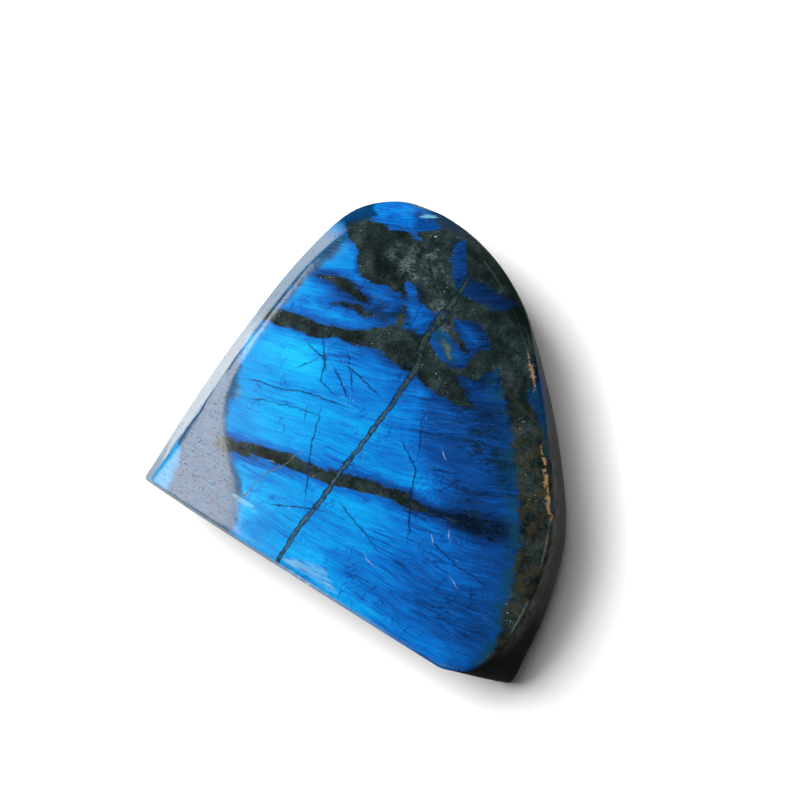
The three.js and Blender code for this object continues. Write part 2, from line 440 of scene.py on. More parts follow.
def make_lights():
    across, up, _ = picture_axes()
    across.z = 0
    across.normalize()
    for name, (slant, bearing, width, length, power, mirrored) in LAMPS.items():
        slant, bearing = math.radians(slant), math.radians(bearing)
        sideways = across * math.cos(bearing) + up * math.sin(bearing)
        direction = sideways * math.sin(slant) + Vector((0, 0, math.cos(slant)))
        lamp = bpy.data.lights.new(name, "AREA")
        lamp.shape = "RECTANGLE"
        lamp.size = width * MM
        lamp.size_y = length * MM
        lamp.energy = power
        holder = bpy.data.objects.new(name, lamp)
        holder.visible_glossy = mirrored
        holder.visible_diffuse = not mirrored
        side = direction.cross(sideways).normalized()
        axes = Matrix((side.cross(direction), side, direction)).transposed().to_4x4()
        holder.matrix_world = Matrix.Translation(direction * LAMP_DISTANCE * MM) @ axes
        bpy.context.scene.collection.objects.link(holder)
    world = bpy.data.worlds.new("studio")
    world.use_nodes = True
    Field.tree = world.node_tree
    upward = dot(Field(add_node("ShaderNodeTexCoord").outputs["Generated"]), (0, 0, 1))
    strength = FILL_OVERHEAD + (FILL_LOW - FILL_OVERHEAD) * smooth(upward, *FILL_CHANGE)
    Field.tree.links.new(strength.socket, world.node_tree.nodes["Background"].inputs["Strength"])
    world.node_tree.nodes["Background"].inputs["Color"].default_value = (1, 1, 1, 1)
    bpy.context.scene.world = world


def make_floor():
    half = FLOOR_SIZE * MM / 2
    level = FLOOR_LEVEL * MM
    corners = [(-half, -half, level), (half, -half, level), (half, half, level), (-half, half, level)]
    mesh = bpy.data.meshes.new("floor")
    mesh.from_pydata(corners, [], [(0, 1, 2, 3)])
    floor = bpy.data.objects.new("floor", mesh)
    bpy.context.scene.collection.objects.link(floor)
    material = bpy.data.materials.new("white_floor")
    material.use_nodes = True
    shader = material.node_tree.nodes["Principled BSDF"]
    shader.inputs["Base Color"].default_value = (*FLOOR_COLOUR, 1)
    shader.inputs["Roughness"].default_value = FLOOR_ROUGHNESS
    shader.inputs["Specular IOR Level"].default_value = FLOOR_SPECULAR
    mesh.materials.append(material)


# Shader arithmetic: a Field is a number, vector or colour at each point of the surface

NOISE_TURN = 37  # by how many degrees streaky noise is turned
RUN_OUT = 6  # how far beyond a stroke's ends its half-width goes on falling, in mm
LEVEL = 1e-6  # a graph whose heights differ by less than this is a plain number


class Field:
    tree = None

    def __init__(self, socket):
        self.socket = socket

    def __add__(self, other):
        return arithmetic("ADD", self, other)

    def __radd__(self, other):
        return arithmetic("ADD", other, self)

    def __sub__(self, other):
        return arithmetic("SUBTRACT", self, other)

    def __rsub__(self, other):
        return arithmetic("SUBTRACT", other, self)

    def __mul__(self, other):
        return arithmetic("MULTIPLY", self, other)

    def __rmul__(self, other):
        return arithmetic("MULTIPLY", other, self)


def add_node(kind, inputs=(), **settings):
    """A new shader node with its settings and inputs, where an input is a plain value, a Field or None."""
    made = Field.tree.nodes.new(kind)
    for name, value in settings.items():
        setattr(made, name, value)
    for socket, value in zip(made.inputs, inputs):
        if isinstance(value, Field):
            Field.tree.links.new(value.socket, socket)
        elif value is not None:
            socket.default_value = value
    return made


def arithmetic(operation, *values):
    return Field(add_node("ShaderNodeMath", values, operation=operation).outputs[0])


def absolute(value):
    return arithmetic("ABSOLUTE", value)


def larger(*values):
    result = values[0]
    for value in values[1:]:
        result = arithmetic("MAXIMUM", result, value)
    return result


def vector_arithmetic(operation, a, b, result="Vector"):
    return Field(add_node("ShaderNodeVectorMath", (a, b), operation=operation).outputs[result])


def dot(vector, constant):
    return vector_arithmetic("DOT_PRODUCT", vector, constant, "Value")


def vector_sum(a, b):
    return vector_arithmetic("ADD", a, b)


def stretch(vector, factors):
    return vector_arithmetic("MULTIPLY", vector, factors)


def vector_of(x, y, z):
    return Field(add_node("ShaderNodeCombineXYZ", (x, y, z)).outputs[0])


def turned(vector, degrees):
    """The vector in axes turned round the vertical."""
    c, s = math.cos(math.radians(degrees)), math.sin(math.radians(degrees))
    return vector_of(dot(vector, (c, s, 0)), dot(vector, (-s, c, 0)), dot(vector, (0, 0, 1)))


def noise(where, scale=1.0, detail=2.0, roughness=0.5):
    made = add_node("ShaderNodeTexNoise", (where, None, scale, detail, roughness), noise_dimensions="3D")
    return Field(made.outputs[0])


def streaky(where, factors, detail=2.0, roughness=0.5):
    """Noise that is drawn out in one direction, and turned so that its own grid doesn't show as bands."""
    return noise(turned(stretch(where, factors), NOISE_TURN), 1, detail, roughness)


def wobbled(where, scale, detail, reach):
    """The same places, shifted about by noise by up to about half the reach along each axis."""
    made = add_node("ShaderNodeTexNoise", (where, None, scale, detail), noise_dimensions="3D")
    shifts = vector_arithmetic("SUBTRACT", Field(made.outputs[1]), (0.5, 0.5, 0.5))
    return vector_sum(where, stretch(shifts, reach))


def smooth(value, low, high):
    """0 where the value is at low and 1 where it is at high, with a smooth run between them."""
    made = add_node("ShaderNodeMapRange", (value, low, high), interpolation_type="SMOOTHSTEP")
    return Field(made.outputs[0])


def ramp(value, stops):
    """A colour ramp through (position, colour) stops."""
    made = add_node("ShaderNodeValToRGB", (value,))
    elements = made.color_ramp.elements
    while len(elements) < len(stops):
        elements.new(0.5)
    for element, (position, colour) in zip(elements, stops):
        element.position = position
        element.color = (*colour, 1)
    return Field(made.outputs[0])


def blend(a, b, share):
    """Colour a where the share is 0 and colour b where it is 1."""
    made = add_node("ShaderNodeMix", (share,), data_type="RGBA")
    for socket, colour in ((made.inputs[6], a), (made.inputs[7], b)):
        if isinstance(colour, Field):
            Field.tree.links.new(colour.socket, socket)
        else:
            socket.default_value = (*colour, 1)
    return Field(made.outputs[2])


def graph(value, places, heights, straight):
    """A curve through (place, height) points, level beyond its ends. Places run from 0 to 1."""
    low, high = min(heights), max(heights)
    if high - low < LEVEL:
        return low
    made = add_node("ShaderNodeFloatCurve", (1.0, value))
    mapping = made.mapping
    mapping.extend = "HORIZONTAL"
    points = mapping.curves[0].points
    while len(points) < len(places):
        points.new(0.5, 0.5)
    for point, place, height in zip(points, places, heights):
        point.location = (place, (height - low) / (high - low))
        point.handle_type = "VECTOR" if straight else "AUTO"
    mapping.update()
    scaled = add_node("ShaderNodeMath", (Field(made.outputs[0]), high - low, low), operation="MULTIPLY_ADD")
    return Field(scaled.outputs[0])


def stroke(where, points, straight=False):
    """How far inside a brush stroke the surface lies, in mm. Its points are x, y and half-width."""
    (x0, y0, _), (x1, y1, _) = points[0], points[-1]
    reach = math.dist((x0, y0), (x1, y1))
    ux, uy = (x1 - x0) / reach, (y1 - y0) / reach
    length = reach + 2 * RUN_OUT
    along = dot(where, (ux / length, uy / length, 0)) + (RUN_OUT - x0 * ux - y0 * uy) / length
    across = dot(where, (-uy, ux, 0)) - (y0 * ux - x0 * uy)
    places = [((x - x0) * ux + (y - y0) * uy + RUN_OUT) / length for x, y, _ in points]
    offsets = [(y - y0) * ux - (x - x0) * uy for x, y, _ in points]
    centre = graph(along, places, offsets, straight)
    widths = [-RUN_OUT, *(width for _, _, width in points), -RUN_OUT]
    half_width = graph(along, [0, *places, 1], widths, straight)
    return half_width - absolute(across - centre)


def srgb(red, green, blue):
    """A colour named by the 8-bit screen values that it has in the studio's light, as a shader takes it."""
    def linear(value):
        share = value / 255
        return share / 12.92 if share <= 0.04045 else ((share + 0.055) / 1.055) ** 2.4
    return tuple(linear(value) / BRIGHTNESS for value in (red, green, blue))


# Markings, as brush strokes of x, y and half-width in the stone's own millimetres. They run straight down
# through the stone. A stroke ends where its half-width goes below zero.

DARK_STROKES = [
    # the upper dark band and the black patch it runs into
    [(4.5, 56.3, -1), (7.5, 57.3, 1.2), (14.5, 59.5, 2.3), (22.4, 61.3, 1.9), (30.4, 64.3, 1.8),
     (36.4, 67.2, 3), (42.4, 69.2, 4.6), (49.3, 69.4, 5.2), (57.3, 68, 4.8), (64.2, 66.1, 2.8),
     (69.2, 64.6, -1)],
    # the big olive patch under the top
    [(11, 89.6, -2), (15.7, 90, 3), (22.7, 89.6, 5.4), (31.6, 88.6, 7.4), (39.5, 88.4, 7.8), (46.5, 88.6, 7),
     (54, 89, 4), (60, 90, -1)],
    [(19.6, 89, -1), (22.4, 85.4, 2.6), (26, 83, 3.2), (31, 83.4, 3.4), (37, 85.6, -1)],
    # dark feldspar along the top edge and down the upper right
    [(26, 103, -2), (33.7, 101, 3.6), (38.7, 101, 6), (50.6, 99.8, 7), (60.5, 94.3, 6.6), (68.4, 87.2, 6),
     (75.3, 80, 4.6), (80.2, 75.6, -1)],
    [(49.4, 83.3, -1), (54.4, 86, 2.4), (60.4, 86.6, 3), (66.3, 85, 5), (72.3, 81, 5), (76.2, 75.1, -1)],
    [(59, 88, -1), (63, 83, 1.6), (66, 79, 3), (65, 74.4, 3), (60, 71, 2), (55, 70, -1)],
    [(47.6, 84, -1), (50.4, 79.6, 1.4), (49, 74, 2.4), (48, 69, -1)],
    [(50, 87, -0.6), (51.8, 83, 1.6), (53.6, 79.6, 1.3), (57.6, 77.6, 1.3), (62.6, 77.6, -0.6)],
    # the lower dark band, which thins out to the right
    [(12.4, 19, -1), (15.4, 20.6, 2.1), (22.1, 23.3, 2.1), (31.1, 25.8, 2.1), (43, 28, 2.1), (55, 31.5, 2),
     (64.9, 34, 1.8), (68.9, 34.1, 1.4), (73, 34.8, 0.7), (78, 35.9, 0.1), (84.8, 37.5, 0.3),
     (88, 38.4, -1)],
    # wisps over the upper bright field
    [(13, 73.6, -0.6), (17, 74.6, 1), (22.6, 75.4, 1.5), (27.5, 75, 1.6), (31.5, 73.7, -0.6)],
    [(19.5, 68.6, -0.6), (24.5, 70.3, 0.7), (30.5, 71.7, 1), (36.4, 73.1, -0.6)],
    [(37, 80, -0.5), (40, 76.4, 1), (41, 72, 1.6), (40, 68, -0.5)],
]
FLASH_STROKES = [
    # blue windows in the dark top
    [(16.8, 95.5, -0.5), (19, 98, 1.8), (24, 99.8, 3), (29.6, 100.6, 3.2), (34.6, 101.6, 1.4),
     (37, 102, -0.5)],
    [(42.6, 102.8, -0.5), (44, 99.6, 1.8), (45.4, 96.5, 2), (47.4, 93.5, 2), (50, 90, -0.5)],
    [(46, 92.8, -0.5), (50, 91.8, 2.2), (54, 92.2, 2.6), (58, 92.4, 2.4), (62, 93, 2), (65.4, 94, -0.5)],
    [(53.4, 83, -0.5), (57, 82.6, 2), (61, 82, 2.6), (64, 81, 1.4), (65.6, 80.8, -0.5)],
    [(46.4, 79.3, -0.5), (49.4, 77.2, 1.8), (53.3, 75.2, 2.8), (58.3, 73.6, 2.4), (62.3, 72.2, -0.5)],
    [(41.9, 81.7, -0.3), (44.4, 79.9, 1.5), (47.4, 77.6, 1.5), (50, 76, -0.3)],
    [(36.1, 85.7, -0.3), (38.1, 83.7, 1.2), (40.5, 81.5, 1.2), (42.5, 79.9, -0.3)],
]
# Where the flash is weaker or stronger than its general fall from left to right: strokes and amounts
SHADE_SOFTNESS = (-4, 4)  # how far inside its stroke a shade starts and is in full
SHADES = [
    ([(52, 66, -5), (60, 58, 3), (68, 50, 6), (78, 43, 6), (90, 39, 5), (102, 38, -5)], -0.14),
    ([(22, 56, -5), (31, 58, 2), (40, 60.6, 4), (48, 61, 4), (58, 60, -5)], -0.14),
    ([(8, 72, -5), (16, 73.6, 2), (26, 73.4, 3), (36, 75, 4), (44, 78, -5)], -0.2),
    ([(46, 6, -5), (62, 12, 5), (84, 14, 8), (98, 14, 6), (110, 16, -5)], -0.1),
    ([(50, 48, -5), (60, 46, 3), (70, 40, 3), (78, 36, -5)], 0.08),
    ([(64, 33, -3), (72, 35, 1), (84, 37.6, 1.4), (94, 40, 0.8), (104, 43, -3)], -0.22),
    ([(62, 76, -4), (70, 66, 4), (76, 60, 4), (84, 56, 3), (92, 48, -4)], -0.1),
    ([(4, 49, -6), (13, 50, 2), (20, 51.6, 3.6), (27, 51, 2), (38, 49, -6)], 0.2),
    ([(14, 28, -5), (24, 33, 3), (34, 36, 3), (46, 38, -5)], 0.07),
    ([(24, 9, -4), (30, 9.6, 1.6), (36, 10, -4)], 0.18),
    ([(29, 4.6, -3), (38, 7.6, 1.4), (48, 10, -3)], -0.16),
]
LEFT_MARGIN = [
    [(4, 52, -1), (4.6, 46, 1.6), (5.2, 40, 3.2), (6.6, 33, 4.9), (6.8, 28, 5.2), (8.8, 22, 6.5),
     (11.4, 17, 7.8), (15.5, 12, 9.2), (17.7, 6, 10.6), (18, -2, 11)],
    [(7.4, 50, -1), (8.4, 58, 1), (9.4, 64, 1.1), (10.6, 70, 1.4), (12, 76, 1.6), (14.2, 83, 1.4),
     (16.8, 90, 1.2), (20, 95, -1)],
]
RIGHT_MARGIN = [
    (70, 80, -1), (77.2, 74.1, 3.2), (84.1, 68, 4.2), (91, 60, 4.8), (97.8, 50.9, 4.8), (102.7, 41.8, 4.4),
    (106, 31.8, 4), (108.5, 21.7, 3.6), (109.5, 12.7, 2.4), (107.4, 5.6, -1),
]
SPECKLED = [
    [(62, 72, -4), (68, 64, 4), (75, 58, 6), (83, 55, 5), (92, 49, -4)],
    [(72, 46, -4), (80, 43, 2), (88, 41, 2), (98, 40, -4)],
    [(26, 74, -4), (34, 75, 3), (42, 76, 3), (48, 77, -4)],
]
FIBROUS = [
    [(24, 86, -4), (31, 88, 3), (38, 91, 4), (46, 91, -4)],
    [(44, 86, -3), (48, 83, 2), (50, 79, 2), (52, 74, -3)],
]
TEAL_STROKES = [
    [(48.2, 79.6, -0.5), (50.4, 77.8, 1.2), (54, 75.6, 1.4), (57.6, 73.4, 1.1), (59.8, 71.6, -0.5)],
]
GOLDEN_STROKES = [
    [(51.8, 77.2, -0.5), (53.8, 75.9, 0.7), (56.8, 74, 0.7), (58.6, 72.6, -0.5)],
    [(12.4, 31, -0.5), (12.4, 34, 0.8), (10.8, 37, 0.6), (9.8, 39, -0.5)],
]
# a painted highlight on the shoulder's flashing window
PAINTED_GLINT = [(28.6, 100.8, -0.4), (30.4, 102, 0.5), (32.4, 103.2, 0.6), (34.2, 104.4, -0.4)]
LIT_CORNER = [(0.5, 16, -3), (2.5, 9, 3), (6, 2, 4), (8, -3, 3)]
COPPER_STROKES = [
    [(73.2, 86.6, -0.4), (75.6, 84, 0.3), (78.6, 80.4, 0.45), (81.8, 76.7, -0.3)],
    [(89, 67.4, -0.5), (92.6, 63.4, 0.35), (97.4, 56.8, 0.5), (101, 52, 0.35), (104, 46.5, -0.4)],
]
HAZE_STROKES = [
    [(44.4, 2, -0.8), (48.5, 3, 1), (53, 4, 1.6), (59, 3.4, 1.3), (65, 2, -0.8)],
    [(24.6, 9.4, -0.6), (27, 11, 1.2), (30, 10.6, 1), (33.4, 9.6, -0.6)],
]
VEIN = [
    (50, 101.4, -0.3), (50.1, 95.3, 0.4), (50.2, 89.9, 0.6), (50, 85.3, 0.9), (49.4, 80.7, 1.3),
    (48.6, 75.6, 1), (49.3, 70.6, 0.9), (50.7, 67.4, 0.9), (50.5, 63.2, 0.85), (50.2, 56.9, 0.7),
    (49.4, 49.1, 0.6), (48.5, 40.1, 0.6), (47.3, 31.4, 0.65), (46.7, 21.6, 0.6), (45.3, 13.1, 0.65),
    (44.8, 0.9, 0.5),
]
BROWN_CRACK = [
    (22.6, 0.6, 0.1), (23.4, 5.4, 0.12), (26, 9.4, 0.1), (28, 12.6, 0.1), (28.6, 16.4, 0.08),
    (30.5, 21.4, 0.12), (32.7, 24.2, 0.14), (33.7, 26.9, 0.14), (35.3, 30.7, 0.06), (36.5, 33.1, -0.2),
]
CRACKS = [
    [(18.2, 57.9, -0.1), (23, 56.2, 0.2), (27, 55.4, 0.26), (28.4, 54.6, 0.26), (30.3, 53, -0.1)],
    [(27.8, 58.6, -0.1), (28.4, 54.6, 0.28), (29.9, 49.4, 0.24), (33.5, 48.8, 0.2), (38.2, 48.1, -0.1)],
    [(28, 57.2, -0.1), (23.8, 51.2, 0.2), (20.9, 46.2, -0.1)],
    [(29, 55.8, -0.1), (33, 53.6, 0.26), (37.3, 50.6, 0.22), (40.2, 49.1, -0.1)],
    [(29.8, 57.4, -0.1), (36.9, 56.6, 0.26), (42.5, 55.2, 0.24), (49.6, 54.1, -0.1)],
    [(23.2, 62, -0.1), (25.4, 58.6, 0.22), (28.4, 54.6, 0.2), (30, 52, -0.1)],
    [(30.4, 62, -0.1), (33.6, 58.6, 0.22), (37.6, 53.6, 0.2), (40.6, 50.4, -0.1)],
    [(8.8, 38.4, -0.1), (14.7, 40.4, 0.2), (21.9, 42.2, 0.22), (29.7, 45.4, 0.22), (37.8, 46.9, 0.2),
     (43.2, 48.1, -0.1)],
    [(10.4, 33.4, -0.1), (16, 35.6, 0.14), (24, 38.8, 0.16), (32, 41, 0.13), (38, 42, -0.1)],
    [(32.5, 46.6, -0.1), (35, 40.3, 0.2), (36.1, 34.7, 0.22), (38.5, 29, 0.2), (41.4, 22.8, 0.18),
     (45.3, 14.9, -0.1)],
    [(29.1, 45.6, -0.1), (31.2, 39.5, 0.17), (32.6, 36.1, -0.1)],
    [(29.6, 11.2, -0.1), (37, 14.4, 0.22), (46.5, 19, 0.2), (53.9, 21.5, -0.1)],
    [(48.6, 25.6, -0.1), (54.3, 23.1, 0.2), (61.5, 20.9, 0.2), (73.1, 15.4, -0.1)],
    [(55.7, 48.7, -0.1), (58.9, 46.4, 0.2), (64.6, 43, 0.28), (66.7, 37, 0.28), (68.7, 32.3, 0.22),
     (71.6, 27.9, 0.28), (73.8, 21.9, -0.1)],
    [(64, 42.6, -0.1), (70.4, 46, 0.22), (74.8, 47.6, 0.2), (77.4, 51.6, -0.1)],
    [(58, 61.6, -0.1), (59.4, 55, 0.16), (62.4, 48.6, 0.2), (64.6, 43, -0.1)],
    [(73.8, 29.7, -0.1), (81.4, 27.7, 0.2), (87.7, 26.2, 0.22), (94.7, 26.2, 0.2), (101.6, 23.8, -0.1)],
    [(36.8, 96.6, -0.1), (39.4, 88, 0.14), (43, 81.6, 0.18), (43.4, 76, 0.16), (44, 70.6, -0.1)],
]
PALE_CRACKS = [
    [(76.9, 30.9, -0.1), (78, 29.4, 0.1), (79.4, 27.4, -0.1)],
    [(80, 34.4, -0.1), (81.4, 32.4, 0.1), (83.4, 29.8, -0.1)],
    [(63, 16.6, -0.1), (66.6, 14.6, 0.1), (69.8, 13.8, -0.1)],
    [(86, 24, -0.1), (89.4, 21.8, 0.1), (92, 20.6, -0.1)],
    [(28, 23.4, -0.1), (29.6, 24, 0.1), (31.6, 23.8, -0.1)],
    [(66.8, 52, -0.1), (69.4, 50.2, 0.1), (71, 48.6, -0.1)],
]

FELDSPAR = [
    (0.25, srgb(13, 22, 20)),
    (0.5, srgb(23, 37, 36)),
    (0.75, srgb(40, 60, 60)),
    (1.0, srgb(62, 86, 88)),
]
FIBRE = srgb(116, 132, 132)
BROWN_FELDSPAR = srgb(52, 48, 32)
WALL_FELDSPAR = [
    (0.2, srgb(8, 10, 10)),
    (0.5, srgb(16, 20, 20)),
    (0.8, srgb(38, 45, 44)),
]
FLASH = [
    (0.0, srgb(5, 20, 40)),
    (0.22, srgb(8, 46, 94)),
    (0.4, srgb(9, 70, 142)),
    (0.58, srgb(8, 106, 194)),
    (0.8, srgb(8, 158, 230)),
    (1.0, srgb(20, 194, 250)),
]
MARGIN_BLUE = srgb(8, 88, 128)
MARGIN_GREY = srgb(48, 84, 116)
CORNER_BLUE = srgb(24, 138, 190)
# pale painted highlight on the polished bevels of the left side and the sawn edge
BEVEL_HIGHLIGHT = srgb(142, 154, 164)
DEEP_TEAL = srgb(16, 64, 82)
SPECKLE = srgb(10, 36, 48)
GOLDEN_TEAL = srgb(112, 116, 52)
# colour of the painted highlight on the shoulder's window
PAINTED_GLINT_COLOUR = srgb(130, 214, 232)
COPPER = srgb(156, 122, 84)
HAZE = srgb(150, 200, 216)
VEIN_PALE = srgb(66, 90, 102)
VEIN_OLIVE = srgb(52, 68, 62)
VEIN_DARK = srgb(14, 30, 38)
CRACK_COLOUR = srgb(4, 34, 84)
BROWN = srgb(86, 94, 94)
SPARK = srgb(205, 222, 228)
# paler wall under the crest: wear and painted sheen
WALL_SHEEN_AND_WEAR = srgb(104, 102, 94)
# navy of the shoulder: partly the stone's colour, partly painted shade
SHOULDER_SHADE_COLOUR = srgb(8, 44, 72)

# How brightly the face flashes along the picture, from its left to its right
FLASH_REACH = [(0.0, 0.78), (0.4, 0.77), (0.5, 0.72), (0.585, 0.66), (0.645, 0.62), (0.7, 0.57), (0.76, 0.46),
               (0.82, 0.36), (0.87, 0.28), (1.0, 0.2)]
REACH_SPAN = 120  # the length along the picture that those shares refer to, in mm

# The lamella lines lie closer at the left than at the right, so that they climb to the right further up
LAMELLA_CLOSENESS = 1.2
LAMELLA_SPREADING = 0.0054
LAMELLA_SLANT = 0.3  # how far they shift with each millimetre of height

# The finish of the polished parts and of the ground ones
POLISHED_ROUGHNESS = 0.1
POLISHED_SPECULAR = 0.36
GROUND_ROUGHNESS = 0.34
GROUND_SPECULAR = 0.014
REFRACTION = 1.5
BUMP_DEPTH = 0.03


def lines(where, factors, width, detail=2.0):
    """Fine wavy lines, at the places where stretched noise passes through its middle value."""
    return smooth(absolute(streaky(where, factors, detail) - 0.5), width, 0)


def deepest(where, strokes, straight=False):
    return larger(*[stroke(where, points, straight) for points in strokes])


class Surface:
    """The places, depths and noises on the stone that its face, its edges, its walls and its finish share."""

    def __init__(self, shift):
        in_metres = Field(add_node("ShaderNodeTexCoord").outputs["Object"])
        self.place = vector_sum(stretch(in_metres, (1 / MM, 1 / MM, 1 / MM)), tuple(-shift))
        self.x, self.y, z = (dot(self.place, axis) for axis in ((1, 0, 0), (0, 1, 0), (0, 0, 1)))
        attribute = add_node("ShaderNodeAttribute", attribute_name="inside_crest")
        self.inside_crest = Field(attribute.outputs["Fac"])
        self.right_side = smooth(self.x, 60, 100)
        self.bent = wobbled(self.place, 0.25, 4, (3, 3, 0))
        self.crooked = wobbled(self.place, 0.6, 3, (1.5, 1.5, 0))
        self.mottle = noise(self.place, 0.3, 4, 0.65)
        self.clouds = noise(self.place, 0.09, 2, 0.5)

        # lamella lines: parallel to the base at the bottom, climbing to the right further up
        sway = (noise(self.place, 0.04, 1) - 0.5) * 4 + (noise(self.place, 0.2, 2) - 0.5) * 0.6
        rise = self.y * (LAMELLA_CLOSENESS - LAMELLA_SPREADING * self.x)
        self.lamellar = vector_of(self.x, rise + sway + z * LAMELLA_SLANT, z)
        self.ragged = (streaky(self.lamellar, (0.16, 0.5, 0.3), 2, 0.5) - 0.5) * 5
        self.fringe = (streaky(self.lamellar, (0.25, 1.7, 0.8), 3, 0.6) - 0.5) * 4
        self.dark = deepest(self.bent, DARK_STROKES) + self.ragged * 0.5 + self.fringe * 0.6
        self.margin = stroke(self.bent, RIGHT_MARGIN) + self.ragged * 0.6 + self.fringe * 0.5


def make_stone_material(shift, name, polished):
    """Polished or ground labradorite: both have the same colours, and differ in their finish."""
    material = bpy.data.materials.new(name)
    material.use_nodes = True
    Field.tree = material.node_tree
    shader = material.node_tree.nodes["Principled BSDF"]
    surface = Surface(shift)
    colour = stone_colour(surface)
    if polished:
        pits = smooth(noise(surface.place, 1.7, 2, 0.6), 0.64, 0.69)
        colour = blend(colour, CRACK_COLOUR, pits * 0.6)
        roughness = POLISHED_ROUGHNESS + pits * 0.1 + surface.mottle * 0.06
        height = noise(surface.place, 0.7, 2, 0.6) * 0.45 - pits
        bump = add_node("ShaderNodeBump")
        bump.inputs["Strength"].default_value = 1
        bump.inputs["Distance"].default_value = BUMP_DEPTH * MM
        Field.tree.links.new(height.socket, bump.inputs["Height"])
        Field.tree.links.new(bump.outputs["Normal"], shader.inputs["Normal"])
    else:
        low_down = smooth(surface.y, 34, 12)
        roughness = GROUND_ROUGHNESS + (surface.mottle - 0.5) * 0.2 + low_down * 0.4
    Field.tree.links.new(colour.socket, shader.inputs["Base Color"])
    Field.tree.links.new(roughness.socket, shader.inputs["Roughness"])
    shader.inputs["Specular IOR Level"].default_value = POLISHED_SPECULAR if polished else GROUND_SPECULAR
    shader.inputs["IOR"].default_value = REFRACTION
    return material


def stone_colour(surface):
    """The face's colour as far as the rim, with painted edge highlights, and the walls' colour beyond it."""
    x, y, inside_crest = surface.x, surface.y, surface.inside_crest
    vein_share, vein_colour = vein(surface)
    colour = blend(face_colour(surface), vein_colour, vein_share * 0.9)

    # the shoulder at the top: its navy is partly the stone's colour and partly painted shade where the top
    # rolls away, except in its one flashing window; and a painted highlight on that window
    shoulder = smooth(inside_crest, -0.1, -1.6) * smooth(y, 84, 92) * smooth(x, 46, 36)
    window = smooth(deepest(surface.bent, FLASH_STROKES[:1]) + surface.fringe * 0.3, -0.6, 0.8)
    colour = blend(colour, SHOULDER_SHADE_COLOUR, shoulder * (1 - window) * 0.85)
    painted_glint = smooth(stroke(surface.bent, PAINTED_GLINT) + surface.fringe * 0.3, -0.3, 0.5)
    colour = blend(colour, PAINTED_GLINT_COLOUR, painted_glint * 0.65)

    # painted highlights: a pale line along the right-hand crest, and pale bevels at the left side and the
    # sawn edge
    along_crest = vector_of(x, y, inside_crest)
    sheen_and_wear = lines(along_crest, (0.5, 0.5, 0.2), 0.3) * smooth(absolute(inside_crest), 0.5, 0.1)
    colour = blend(colour, FIBRE, sheen_and_wear * surface.right_side * smooth(surface.clouds, 0.4, 0.6) * 0.5)
    at_left = smooth(x, 34, 26) * smooth(y, 90, 82)
    at_base = smooth(y, 1.2, 0.8) * smooth(x, 96, 50)
    bevel_highlight = larger(smooth(inside_crest, 0.1, -0.5) * at_left, at_base * 0.8)
    colour = blend(colour, BEVEL_HIGHLIGHT, bevel_highlight * 0.9)

    at_top = smooth(y, 66, 84)
    wall_share = smooth(inside_crest + larger(at_top * 5, at_left * 3, at_base * 3), -0.4, -2)
    wall = blend(wall_colour(surface), vein_colour, vein_share * 0.5)
    return blend(colour, wall, wall_share)


def vein(surface):
    """The vein that crosses the stone: its share at each place, and its colour there."""
    depth = stroke(surface.crooked, VEIN, True)
    core = smooth(depth, 0.1, 0.45) * smooth(noise(surface.place, 0.8, 2), 0.3, 0.6)
    core_colour = blend(VEIN_PALE, VEIN_OLIVE, smooth(surface.y, 40, 68))
    return smooth(depth, -0.2, 0.05), blend(VEIN_DARK, core_colour, core)


def wall_colour(surface):
    """Dark feldspar with wear and painted sheen under the crest, and glimpses of blue at the left side and
    the top.
    """
    x, y, mottle = surface.x, surface.y, surface.mottle
    wall = ramp(mottle * 0.7 + (surface.clouds - 0.5) * 1.1 + 0.1, WALL_FELDSPAR)
    # paler just under the crest: partly wear, partly a painted sheen on the wall's upper part
    sheen_and_wear = smooth(surface.inside_crest, -9, -1) * smooth(y, 96, 76) * smooth(y, 8, 20)
    wall = blend(wall, WALL_SHEEN_AND_WEAR, sheen_and_wear * smooth(mottle, 0.3, 0.6) * 0.5)
    dark_share = larger(smooth(surface.dark, -0.5, 0.5), smooth(surface.margin, -1, 1))
    glimpses = smooth(streaky(surface.lamellar, (0.05, 0.12, 0.12), 3, 0.5), 0.52, 0.7) * (1 - dark_share)
    left_or_top = larger(smooth(x, 60, 20), smooth(y, 80, 95))
    return blend(wall, ramp(mottle * 0.5, FLASH), glimpses * left_or_top * 0.55)


